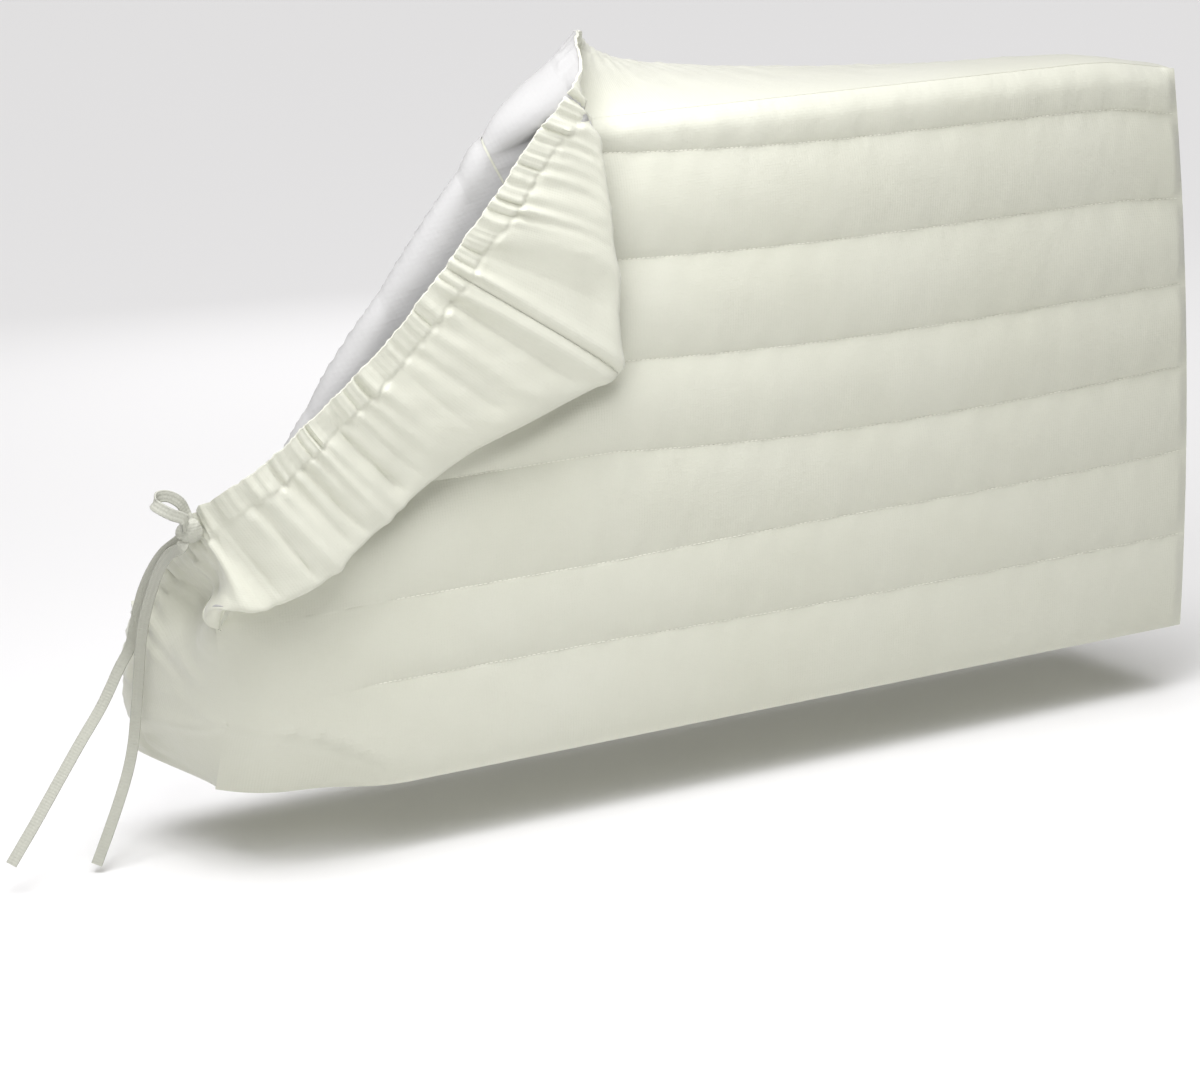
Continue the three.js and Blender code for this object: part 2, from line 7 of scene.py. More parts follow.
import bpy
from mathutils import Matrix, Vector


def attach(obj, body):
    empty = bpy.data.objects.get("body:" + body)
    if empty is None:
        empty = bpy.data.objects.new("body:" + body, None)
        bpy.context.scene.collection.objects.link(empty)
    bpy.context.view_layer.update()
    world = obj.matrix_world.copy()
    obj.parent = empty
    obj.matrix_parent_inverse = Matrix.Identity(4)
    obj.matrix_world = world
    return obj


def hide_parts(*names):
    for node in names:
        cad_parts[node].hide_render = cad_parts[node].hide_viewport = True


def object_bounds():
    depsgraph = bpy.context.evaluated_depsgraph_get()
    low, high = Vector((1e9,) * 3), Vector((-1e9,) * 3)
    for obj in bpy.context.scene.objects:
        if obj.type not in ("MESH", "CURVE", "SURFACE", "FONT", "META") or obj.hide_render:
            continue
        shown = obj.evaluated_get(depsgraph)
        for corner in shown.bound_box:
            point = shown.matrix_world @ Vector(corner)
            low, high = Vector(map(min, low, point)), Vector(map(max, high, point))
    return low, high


bl_info = {
    "name": "Air Conditioner Cover",
    "version": (1, 0, 0),
    "blender": (4, 5, 0),
    "location": "3D View > Sidebar > Cover",
    "description": "Builds a quilted cover with a gathered hem and a tie, and a plain studio around it",
    "category": "Object",
}

import bpy
import numpy as np
from mathutils import Matrix

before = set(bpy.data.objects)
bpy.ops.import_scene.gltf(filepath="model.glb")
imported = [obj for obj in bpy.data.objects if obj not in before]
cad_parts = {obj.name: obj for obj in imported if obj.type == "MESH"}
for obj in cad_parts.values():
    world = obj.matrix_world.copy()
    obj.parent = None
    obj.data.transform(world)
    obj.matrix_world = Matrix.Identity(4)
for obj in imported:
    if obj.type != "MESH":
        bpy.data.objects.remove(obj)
CAD_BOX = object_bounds()

MM = 0.001
WIDTH = 690.0
HEIGHT = 391.0
DEPTH = 130.0
UNDERSIDE = 401.3  # height of the top strip's underside at the origin

QUILT_SEAM = 1.8  # thickness of the quilt where it is stitched
FULL_CHANNEL = 45.0  # a channel at least this tall puffs up in full
LOW_FLAT = 0.4  # share of a channel's height which the lower ones lack
LOW_RANGE = (230.0, 90.0)  # from none of it to all of it between these heights
UNDER_FLAP_PRESS = 0.7  # the flap presses the quilt under it by this share
PUCKER = {"pitch": 7.5, "high": 0.34, "reach": 4.5}  # small puckers at the stitches
WIDE_PUCKER = {"pitch": 31.0, "high": 0.28, "reach": 8.0, "at": 7.0}  # and wider ones beside them
EDGE_PRESS = 9.0  # the quilt is pressed flat this near its sewn edge
LEFT_PRESS = 90.0  # and thins out over this width towards the left edge
LINING_CLEAR = 0.9  # gap between the quilt and the lining
LINING_THICK = 0.5  # thickness of the lining that the quilt's hollows do not swell
LINING_INSET = 2.0  # the lining ends this far inside the panel's edge
STRIP = 1.8  # thickness of the strips' cloth
SEAM_LAP = 0.6  # the strip starts this far inside the panel's edge
SEAM_SINK = 0.1  # and this far below the quilt's surface

# The fold of the corner runs from the top edge down to the left edge.
FOLD_TOP_U = 190.0
FOLD_LEFT_H = 125.0
FOLD_RADIUS = 7.2
FOLD_BOW = 16.0  # the fold's soft edge stands out at most this far from its straight line
BOW_START = 3.0  # and this far at the top edge
BOW_RISE = 0.075  # growing by this share of the way down the fold
FOLD_SAG = 14.0  # and falls back this far at its lower end
SAG_RANGE = (200.0, 330.0)  # between these distances down the fold
FLAP_STRETCH = 1.137
FLAP_SLIP = 0.19
FLAP_TIP = (265.0, 232.0)
FOLD_LENGTH = np.hypot(FOLD_TOP_U, HEIGHT - FOLD_LEFT_H)
RUN_U = FOLD_TOP_U / FOLD_LENGTH
RUN_H = (HEIGHT - FOLD_LEFT_H) / FOLD_LENGTH
TURN = np.pi * FOLD_RADIUS
CREASE_TOP = 50.0  # the crease in the lower left corner starts at this height on the left edge
CREASE_END = 120.0  # and ends this far along the bottom edge
SOFT_REACH = 42.0  # the lower left edge turns back softly over this width
SOFT_TURN = 0.95  # angle of that turn at the edge, radians
SOFT_ABOVE = 175.0  # the edge is straight from this height up
SOFT_BELOW = 75.0  # and turns back in full from this height down
PAST_EDGE = 1.1  # the turn's arc goes on this far past the edge, so that the strip leaves along it
CREASE_RIDGE = 2.4  # the crease in that corner stands out this far
TOP_ROLL = -1.2  # the top channel rolls over and ends this share of its height behind the panel's plane
CORNER_REACH = 30.0  # two sides share one direction at a corner and part over this length
EDGE_REACH = 14.0  # the strip takes its direction from this much of the edge where the crease crosses it
LEAST_STEP = 0.05  # the panel's directions are taken from steps of this length along it
HOLLOW = {"deep": 18.0, "wide": 20.0, "from_hem": 36.0}  # the hollow in the left strip below the knot

# Stitched seams of the quilt, bottom to top: height near the fold, in the middle, at the right, and the
# distance from the left edge where the stitching fades into the soft corner
SEAM_LEVEL = 460.0  # each seam is level here
SEAM_TO_LEFT = 180.0  # and reaches its left height this far to the left
SEAM_TO_RIGHT = 225.0  # and its right height this far to the right
SEAM_FADE = 60.0  # the stitching fades over this width
SEAMS = (
    (65.3, 63.7, 65.5, 50.0),
    (117.0, 119.6, 124.0, 62.0),
    (184.0, 176.0, 182.5, 0.0),
    (241.0, 235.0, 240.0, 0.0),
    (304.0, 299.0, 301.0, 0.0),
    (369.0, 361.8, 360.5, 0.0),
)

# The strip around the box, station by station. The distance along the panel's edge, how far the cloth leaves
# that edge outwards and backwards, the hem's u, h and v there, and how the cloth comes in to the hem
STATION = ("at", "out", "back", "u", "h", "v", "du", "dh", "dv")
TOP = (
    (0, 14, 90, 680, 375, 128, -4, -10, 50),
    (50, 22, 95, 636, 380, 131, 0, -10, 60),
    (130, 22, 95, 560, 384, 132, 0, -8, 60),
    (220, 22, 95, 473, 391, 132, 0, -6, 60),
    (290, 24, 95, 402, 398, 132, 0, -4, 60),
    (350, 30, 90, 350, 406, 129, 0, 0, 60),
    (400, 45, 80, 320, 416, 118, 10, 10, 50),
    (445, 70, 55, 297, 428, 92, 20, 20, 35),
    (475, 75, 30, 275, 437, 50, 20, 35, 20),
    (492, 60, 10, 257, 441, 14, 20, 40, 0),
    (509, 70, 12, 246, 436, -9, 14, 34, -6),
    (523, 150, 24, 240, 421, -22, -8, 20, -4),
    (545, 270, 34, 227, 405, -25, -40, 20, -2),
    (580, 300, 40, 206, 385, -25, -46, 26, -2),
    (620, 270, 40, 183, 357, -26, -46, 30, -2),
    (655, 220, 36, 164, 337, -26, -44, 32, -2),
    (690, 70, 30, 147, 318, -26, -42, 34, -2),
)
LEFT = (
    (0, 70, 30, 147, 318, -26, -42, 34, -2),
    (45, 100, 50, 118, 288, -26, -34, 42, -2),
    (90, 125, 30, 89, 262, -25, -28, 46, -2),
    (135, 180, 30, 60, 240, -24, -22, 46, -2),
    (175, 200, 60, 34, 220, -24, -18, 42, 0),
    (205, 200, 90, 12, 207, -21, -14, 36, 2),
    (232, 160, 80, -4, 193, -4, -4, 30, 8),
    (252, 120, 20, -8, 180, 14, -4, 24, 20),
    (275, 80, 6, -8, 160, 48, 0, 16, 34),
    (300, 76, 0, -9, 137, 84, 6, 10, 40),
    (330, 82, 0, -17, 103, 113, 10, 4, 44),
    (360, 78, 4, -24, 58, 127, 8, 0, 46),
    (391, 45, 60, -18, 7, 131, 0, 0, 50),
)
BOTTOM = (
    (0, 45, 60, -18, 7, 131, 0, 0, 50),
    (70, 16, 90, 60, 10, 132, 0, 8, 50),
    (345, 16, 90, 345, 15, 133, 0, 10, 50),
    (620, 16, 90, 614, 14, 132, 0, 10, 50),
    (690, 14, 90, 680, 12, 128, -4, 8, 50),
)
RIGHT = (
    (0, 14, 90, 680, 12, 128, -4, 8, 50),
    (80, 22, 90, 679, 86, 131, -8, 0, 50),
    (195, 24, 90, 677, 195, 133, -10, 0, 50),
    (320, 22, 90, 678, 308, 131, -8, 0, 50),
    (391, 14, 90, 680, 375, 128, -4, -10, 50),
)

# The four sides: the panel's corner at which each starts, which way is outward and which way the side runs,
# both as shares of the panel's own right and up
SIDES = {
    "top": {"rows": TOP, "length": WIDTH, "start": (WIDTH, HEIGHT), "out": (0, 1), "run": (-1, 0)},
    "left": {"rows": LEFT, "length": HEIGHT, "start": (0, HEIGHT), "out": (-1, 0), "run": (0, -1)},
    "bottom": {"rows": BOTTOM, "length": WIDTH, "start": (0, 0), "out": (0, -1), "run": (1, 0)},
    "right": {"rows": RIGHT, "length": HEIGHT, "start": (WIDTH, 0), "out": (1, 0), "run": (0, 1)},
}

# Long folds from the hem towards the panel's edge: where they meet the edge, how far that place moves along
# the side on the way to the hem, how deep a trough (or, below zero, how high a ridge), how wide, and the
# shares of the strip's width at which they start and end
TOP_FOLDS = (
    (683, 0, -2.6, 4.5, 0.03, 0.95),
    (664, 4, 4.4, 11, 0.26, 0.9),
    (640, 2, -2.0, 9, 0.15, 0.9),
    (604, -4, 2.0, 9, 0.4, 0.92),
    (575, -6, 1.4, 6, 0.45, 0.92),
    (560, 3, -1.2, 5, 0.4, 0.9),
)
LEFT_FOLDS = (
    (6.5, 0, -2.8, 4.5, 0.03, 0.97),
    (15.5, 0, 3.6, 4.2, 0.2, 0.86),
    (30, 4, -1.2, 6, 0.2, 0.8),
    (48, 4, 3.0, 9, 0.3, 0.95),
    (70, -4, 1.2, 3, 0.32, 0.8),
    (92, -2, -1.8, 8, 0.3, 0.9),
    (108, 4, 1.6, 2.4, 0.28, 0.86),
    (122, 5, 4.4, 4.0, 0.28, 0.88),
    (132, 4, -1.4, 4, 0.1, 0.86),
    (145, 0, -2.2, 6, 0.1, 0.9),
    (158, 5, 3.4, 3.6, 0.28, 0.88),
    (172, 2, 2.4, 5, 0.28, 0.95),
    (188, 4, -2.2, 5, 0.1, 0.9),
    (203, 2, 4.0, 4.4, 0.28, 0.9),
    (226, 4, 2.4, 5, 0.28, 0.9),
    (262, -4, -1.6, 7, 0.2, 0.9),
    (290, 0, 3.0, 14, 0.25, 0.95),
    (322, -12, -1.6, 5, 0.1, 0.75),
    (341, 44, -2.4, 5, 0.0, 0.95),
)

# The knot at the hem, and the tie's routes from it
KNOT = {"at": (-13.5, 179.7, -2.5), "wide": 8.0, "high": 7.0, "deep": 6.0}
TOUCH = 0.3  # gap between the knot and the tapes that come out of it
RIGHT_END = (
    (-23.5, 165, 7), (-24, 151, 28), (-24, 131, 50), (-25, 109, 67), (-26, 88, 77), (-27, 68, 83),
    (-29, 49, 86), (-33, 27, 86), (-38, 12, 84), (-46, -5, 81), (-55, -22, 78), (-66, -42, 75),
)
LEFT_END = (
    (-23.5, 164, 17), (-25, 148, 40), (-26, 127, 63), (-27, 104, 80), (-29, 88, 88), (-36, 75, 91),
    (-49, 54, 90), (-67, 34, 84), (-83, 16, 78), (-103, -7, 71), (-121, -27, 65),
)
LOOP = (
    (-19, 189, -11), (-26, 193, -12), (-32, 197, -11), (-35, 200, -7.5), (-32, 202.5, -4), (-25, 202, -3),
    (-18, 197, -3),
)
LOOP_START = (-0.5, 0.5, -0.7)
LOOP_END = (-0.1, 0.95, 0.1)
LOOP_ACROSS = (0.45, 0.88, 0.1)  # the way in which the loop's tape is broad
END_BROAD = (-0.45, 0.25, -0.85)  # the free ends' tape is broad across this direction
END_POINTS = 120
LOOP_POINTS = 60

# The camera of the photo, fitted to the cover's corners, seams and edges
CAMERA_AT = (-878.3, -1719.7, 231.4)
CAMERA_RIGHT = (0.897487, -0.438725, -0.045421)
CAMERA_DOWN = (-0.156025, -0.219562, -0.963037)
CAMERA_AHEAD = (0.412540, 0.871357, -0.265478)
CAMERA_LENS = 91.88
SENSOR = 36.0

BELOW_PART = 0.004  # the floor lies this far below the part, metres
# Studio lights: kind, place in metres, angle in radians or size in metres, and power. Each one faces the
# cover's middle. A light needs a place to the side of that, as its turn is worked out from it.
AIM = (0.0, 0.0, -0.2)
LIGHTS = (
    ("key_light", "SUN", (-0.25, -0.2, 1.3), 0.6, 1.3),
    ("top_light", "SUN", (0.02, 0.0, 1.4), 0.9, 1.15),
    ("upper_light", "AREA", (-0.24, -0.38, 0.46), 0.5, 4.0),
    ("left_light", "AREA", (-0.6, -0.6, 0.32), 0.5, 2.4),
    ("back_light", "AREA", (0.4, 1.5, 0.3), 0.8, 2.5),
)

# The tape's section, as shares of half its width and half its thickness
TAPE_SIDE = (-1, -0.94, -0.8, -0.4, 0, 0.4, 0.8, 0.94, 1, 0.94, 0.8, 0.4, 0, -0.4, -0.8, -0.94)
TAPE_LIFT = (0, 0.9, 1, 0.7, 0.7, 0.7, 1, 0.9, 0, -0.9, -1, -0.7, -0.7, -0.7, -1, -0.9)
ROUND_STEP = 1.2  # distance from one point of a section to the next in the cloth's UV

SHARP = 1.2  # an edge that bends by more than this is shaded as a sharp one, radians

# A stitch is a short spindle: places of its rings as shares of its length, and their radii in millimetres
STITCH_SHARE = 0.8  # of the distance from one stitch to the next
STITCH_RINGS = (-0.5, -0.3, 0.0, 0.3, 0.5)
STITCH_RADII = (0.08, 0.3, 0.36, 0.3, 0.08)
STITCH_LIFT = 0.15


def linear(code):
    """The linear colour of an sRGB hex code, by the sRGB transfer curve."""
    value = np.array([int(code[i:i + 2], 16) for i in (0, 2, 4)]) / 255
    return tuple(np.where(value <= 0.04045, value / 12.92, ((value + 0.055) / 1.055) ** 2.4).tolist())


def ease(low, high, x):
    """0 below low, 1 above high, and a smooth cubic step between them."""
    t = np.clip((x - low) / (high - low), 0, 1)
    return t * t * (3 - 2 * t)


def bump(x, wide):
    """A bell of height 1 at zero."""
    return np.exp(-((x / wide) ** 2))


def hermite(t):
    """The four weights of a cubic that starts and ends with given points and directions."""
    return (1 + 2 * t) * (1 - t) ** 2, t * (1 - t) ** 2, t * t * (3 - 2 * t), t * t * (t - 1)


def points_of(*parts):
    """One array of points from broadcastable coordinates."""
    return np.stack(np.broadcast_arrays(*parts), axis=-1).astype(float)


def unit(vectors):
    """Each vector divided by its length."""
    return vectors / np.linalg.norm(vectors, axis=-1, keepdims=True)


def place(points):
    """The frame's X, Y and Z in metres from u, h and v in millimetres."""
    u, h, v = np.moveaxis(np.asarray(points, dtype=float), -1, 0)
    return points_of(u - WIDTH / 2, v - DEPTH / 2, h - UNDERSIDE) * MM


def ripples(x, y, longest, shortest, seed, count=10):
    """A soft uneven surface: the mean of sine waves whose lengths and directions are drawn from a seed."""
    draw = np.random.default_rng(seed)
    total = 0.0
    for _ in range(count):
        length = shortest * (longest / shortest) ** draw.random()
        way = draw.random() * 2 * np.pi
        run = (x * np.cos(way) + y * np.sin(way)) * 2 * np.pi / length
        total = total + np.sin(run + draw.random() * 2 * np.pi)
    return total / np.sqrt(count)


def fold_terms(u, h):
    """Distance down the fold from the top edge, the place of the fold's bowed edge there, and how far the
    point lies past that edge."""
    du, dh = u - FOLD_TOP_U, h - HEIGHT
    along = -(du * RUN_U + dh * RUN_H)
    past = -du * RUN_H + dh * RUN_U
    bow = np.minimum(FOLD_BOW, BOW_START + BOW_RISE * along)
    bow = bow - FOLD_SAG * ease(*SAG_RANGE, along) - FOLD_RADIUS
    return along, bow, past - bow


def crease_height(u):
    """The crease in the lower left corner falls as a parabola from the left edge to the bottom edge."""
    return CREASE_TOP * (1 - (u / CREASE_END) ** 2)


def flat_sheet(u, h):
    """The panel before the fold: bowed right and top edges, a lower left edge that turns back on an arc, and
    a lower left corner bent back under a crease."""
    top = ease(0.5, 1, h / HEIGHT)
    angle = np.maximum(1e-3, SOFT_TURN * ease(SOFT_ABOVE, SOFT_BELOW, h))
    share = np.clip((SOFT_REACH - u) / SOFT_REACH, 0, PAST_EDGE)
    pulled_in = SOFT_REACH * (share - np.sin(angle * share) / angle)
    turned_back = SOFT_REACH * (1 - np.cos(angle * share)) / angle
    us = u + (u / WIDTH) ** 4 * (3 - 2e-4 * (h - 150) ** 2) + pulled_in
    lifted = 2 * ease(0.4, 0, h / HEIGHT) * bump(u, 30)
    hs = h - 9 * top * ease(600, 700, u) ** 2 + lifted
    below = crease_height(u) - h
    reach = ease(CREASE_END, 60, u)
    under = 0.6 * np.clip(below, 0, 60) * reach
    ridge = CREASE_RIDGE * bump(below, 4.5) * reach
    return points_of(us, hs, under - ridge + turned_back)


def panel_sheet(u, h):
    """The panel with its corner folded over: flat up to the fold, half a turn round its radius, then back
    over itself, stretched a little across the fold and slipped along it."""
    along, bow, turned = fold_terms(u, h)
    turn = np.pi * np.clip(turned, 0, TURN) / TURN
    beyond = np.maximum(0, turned - TURN)
    across = bow + FOLD_RADIUS * np.sin(turn) - FLAP_STRETCH * beyond
    down = along - FLAP_SLIP * beyond
    folded = points_of(
        FOLD_TOP_U - RUN_U * down - RUN_H * across,
        HEIGHT - RUN_H * down + RUN_U * across,
        -FOLD_RADIUS * (1 - np.cos(turn)),
    )
    return np.where((turned <= 0)[..., None], flat_sheet(u, h), folded)


def panel_frame(u, h, reach=LEAST_STEP):
    """The panel's point, right, up and front, from a small step along u and a given one along h."""
    right = unit(panel_sheet(u + LEAST_STEP, h) - panel_sheet(u - LEAST_STEP, h))
    up = unit(panel_sheet(u, h + reach) - panel_sheet(u, h - reach))
    return panel_sheet(u, h), right, up, unit(np.cross(up, right))


def under_flap(u, h):
    """1 where the folded corner lies on the panel, falling to 0 outside its two edges."""
    turned = fold_terms(u, h)[2]
    tip_u, tip_h = FLAP_TIP
    right_run = np.array((FOLD_TOP_U - tip_u, HEIGHT - tip_h))
    left_run = np.array((tip_u, tip_h - FOLD_LEFT_H))
    right = ((h - tip_h) * right_run[0] - (u - tip_u) * right_run[1]) / np.hypot(*right_run)
    left = ((h - FOLD_LEFT_H) * left_run[0] - u * left_run[1]) / np.hypot(*left_run)
    return np.where(turned > -14, 1.0, ease(-10, 6, np.minimum(right, left)))


def seam_height(seam, u):
    """A seam's height: level in the middle of the panel, curving to its own height at each end."""
    left, middle, right, _ = seam
    to_left = np.clip((SEAM_LEVEL - u) / SEAM_TO_LEFT, 0, 1.1) ** 2
    to_right = np.clip((u - SEAM_LEVEL) / SEAM_TO_RIGHT, 0, 1.1) ** 2
    return middle + (left - middle) * to_left + (right - middle) * to_right


def channel_lines(u):
    """Heights of the bottom edge, the six seams and the top edge, one row each."""
    return np.stack([0 * u] + [seam_height(seam, u) for seam in SEAMS] + [0 * u + HEIGHT])


def channel_share(u, h):
    """Which channel a point lies in, its share of the way up it, and the channel's height."""
    lines = channel_lines(u)
    index = np.clip((h >= lines[1:-1]).sum(axis=0), 0, len(SEAMS))
    low = np.take_along_axis(lines, index[None], axis=0)[0]
    high = np.take_along_axis(lines, index[None] + 1, axis=0)[0]
    return index, np.clip((h - low) / (high - low), 0, 1), high - low


def quilt_thickness(u, h, puff):
    """Puffed channels between the seams, pressed at the sewn edges and under the flap, with small puckers
    that run out from each line of stitches and soft uneven wadding."""
    index, share, tall = channel_share(u, h)
    edge = np.minimum(WIDTH - u, h)
    pressed = ease(0, EDGE_PRESS, edge) * ease(0, LEFT_PRESS, u)
    pressed = pressed * (1 - UNDER_FLAP_PRESS * under_flap(u, h))
    full = np.minimum(1, tall / FULL_CHANNEL) * (1 - LOW_FLAT * ease(*LOW_RANGE, h))
    swell = (4 * share * (1 - share)) ** 0.85
    rolls_over = (index == len(SEAMS)) & (share > 0.5)
    swell = np.where(rolls_over, 1 - (1 - TOP_ROLL) * (2 * share - 1) ** 2, swell)
    starts = np.array([0.0] + [seam[3] for seam in SEAMS] + [0.0])
    low_start, high_start = starts[index], starts[np.minimum(index + 1, len(SEAMS))]
    loose = np.maximum(ease(low_start + SEAM_FADE, low_start, u) * (low_start > 0) * (1 - share),
                       ease(high_start + SEAM_FADE, high_start, u) * (high_start > 0) * share)
    swell = swell + (0.8 - swell) * loose
    from_seam = np.minimum(share, 1 - share) * tall
    phase = u * 2 * np.pi / PUCKER["pitch"]
    phase = phase + 2.2 * np.sin(u * 0.031 + index * 1.9) + 1.1 * np.sin(u * 0.11 + index)
    pucker = PUCKER["high"] * np.sin(phase) * np.exp(-from_seam / PUCKER["reach"]) * ease(0, 1.6, from_seam)
    wide_phase = u * 2 * np.pi / WIDE_PUCKER["pitch"] + index * 2.3 + 1.5 * np.sin(u * 0.02)
    wide_pucker = WIDE_PUCKER["high"] * np.sin(wide_phase)
    wide_pucker = wide_pucker * bump(from_seam - WIDE_PUCKER["at"], WIDE_PUCKER["reach"])
    uneven = 0.28 * ripples(u, h * 1.6, 150, 38, 11) + 0.1 * ripples(u, h, 30, 9, 12)
    uneven = uneven * np.sqrt(np.maximum(swell, 0))
    return QUILT_SEAM + (puff * full * swell + pucker + wide_pucker + uneven) * pressed


def rolled_back(u, h, puff):
    """Height of the quilt's inner side over the panel's plane: below 0 where the top channel rolls over."""
    return np.minimum(0, quilt_thickness(u, h, puff) - QUILT_SEAM)


def mesh_object(name, vertices, faces, materials, uvs=None, face_materials=None):
    """One smooth mesh object at the origin from whole arrays of vertices and quads, with an optional UV for
    each vertex."""
    mesh = bpy.data.meshes.new(name)
    mesh.from_pydata(vertices.tolist(), [], faces.tolist())
    for material in materials:
        mesh.materials.append(material)
    if face_materials is not None:
        mesh.polygons.foreach_set("material_index", face_materials.astype(np.int32))
    mesh.polygons.foreach_set("use_smooth", np.ones(len(mesh.polygons), dtype=bool))
    if uvs is not None:
        corners = np.empty(len(mesh.loops), dtype=np.int32)
        mesh.loops.foreach_get("vertex_index", corners)
        mesh.uv_layers.new(name="cloth").data.foreach_set("uv", uvs[corners].ravel())
    mesh.set_sharp_from_angle(angle=SHARP)
    mesh.update()
    obj = bpy.data.objects.new(name, mesh)
    bpy.context.scene.collection.objects.link(obj)
    return obj


def closed_sheet(name, outer, inner, uv, materials):
    """A closed sheet from two grids of the same size: an outer skin, an inner skin facing the other way, and
    a wall round the rim. The inner skin and the walls at both ends of the rows are in the second material."""
    rows, columns = outer.shape[:2]
    index = np.arange(rows * columns).reshape(rows, columns)
    a, b, c, d = index[:-1, :-1], index[:-1, 1:], index[1:, 1:], index[1:, :-1]
    skin = np.stack([a, b, c, d], axis=-1).reshape(-1, 4)
    count = rows * columns
    back = skin[:, ::-1] + count
    rim = np.concatenate([index[0, :-1], index[:-1, -1], index[-1, :0:-1], index[:0:-1, 0]])
    after = np.roll(rim, -1)
    wall = np.stack([rim, rim + count, after + count, after], axis=-1)
    faces = np.concatenate([skin, back, wall])
    across, down = np.zeros(columns - 1), np.ones(rows - 1)
    kind = np.concatenate([np.zeros(len(skin)), np.ones(len(back)), across, down, across, down])
    vertices = place(np.concatenate([outer.reshape(-1, 3), inner.reshape(-1, 3)]))
    uvs = np.tile(uv.reshape(-1, 2), (2, 1))
    return mesh_object(name, vertices, faces, materials, uvs, kind if len(materials) > 1 else None)


def station(side, at):
    """A side's columns at any place, on a smooth curve through its stations."""
    rows = np.array(side["rows"], dtype=float)
    where = rows[:, 0]
    slopes = np.zeros_like(rows)
    slopes[1:-1] = (rows[2:] - rows[:-2]) / (where[2:] - where[:-2])[:, None]
    slopes[0] = (rows[1] - rows[0]) / (where[1] - where[0])
    slopes[-1] = (rows[-1] - rows[-2]) / (where[-1] - where[-2])
    i = np.clip(np.searchsorted(where, at, side="right") - 1, 0, len(rows) - 2)
    span = (where[i + 1] - where[i])[:, None]
    h00, h10, h01, h11 = hermite(np.clip((at - where[i])[:, None] / span, 0, 1))
    values = h00 * rows[i] + h10 * span * slopes[i] + h01 * rows[i + 1] + h11 * span * slopes[i + 1]
    return dict(zip(STATION, values.T))


def strip_sheet(side, at, share, puff):
    """The strip's middle surface, share 0 at the panel's edge and 1 at the hem: for each place along the
    side, a cubic that leaves the edge outwards and backwards and comes in to the hem in the station's
    direction."""
    s = station(side, at)
    u, h = (start + run * at for start, run in zip(side["start"], side["run"]))
    smoothed = EDGE_REACH * ease(105, 75, h) * ease(0, 20, h) * ease(60, 20, u)
    point, right, up, front = panel_frame(u, h, LEAST_STEP + smoothed)
    lean = (1 - ease(0, CORNER_REACH, side["length"] - at)) - (1 - ease(0, CORNER_REACH, at))
    out_u = side["out"][0] + lean * side["run"][0]
    out_h = side["out"][1] + lean * side["run"][1]
    outward = out_u[:, None] * right + out_h[:, None] * up
    edge_lift = quilt_thickness(u, h, puff) - STRIP / 2 - SEAM_SINK
    start = point + front * edge_lift[:, None] - outward * SEAM_LAP
    leave = outward * s["out"][:, None] - front * s["back"][:, None]
    hem = points_of(s["u"], s["h"], s["v"])
    arrive = points_of(s["du"], s["dh"], s["dv"])
    h00, h10, h01, h11 = (w[:, None, None] for w in hermite(share))
    return h00 * start + h10 * leave + h01 * hem + h11 * arrive


def gathers(at, back, gather, length):
    """Pillows between tight creases on the hem's casing, a dimpled line of stitches, and wider folds that die
    away from the hem. back is the distance from the hem. Returns the lift and the pillows' fullness."""
    pitch, height, casing = gather
    drift = 2.4 * np.sin(at * 0.043) + 1.2 * np.sin(at * 0.017 + 1) + 1.1 * np.sin(at * 0.13)
    phase = at * 2 * np.pi / pitch + drift
    uneven = 1 + 0.35 * np.sin(at * 0.21 + 2) + 0.3 * np.sin(at * 0.083)
    pillow = np.abs(np.sin(phase / 2)) ** 0.7
    fine = 0.3 * np.sin(phase * 1.7 + 1.3 * np.sin(at * 0.31))
    fine = fine + 0.22 * np.sin(at * 1.05 + 2 * np.sin(at * 0.17))
    in_casing = ease(casing + 3, casing - 2, back)
    beyond = np.exp(-np.maximum(0, back - casing) / (1.7 * pitch)) * (1 - in_casing)
    soft = np.sin(phase + 0.02 * back) * 0.55 + 0.25 * np.sin(phase * 0.5 + 0.9)
    at_seam = ease(0, 7, np.minimum(at, length - at))
    lift = height * uneven * ((pillow - 0.6 + fine * 0.6) * in_casing + soft * beyond)
    lift = lift - 0.4 * height * bump(back - casing, 1.9) * (0.5 + 0.5 * pillow)
    return lift * at_seam, pillow * in_casing * uneven * at_seam


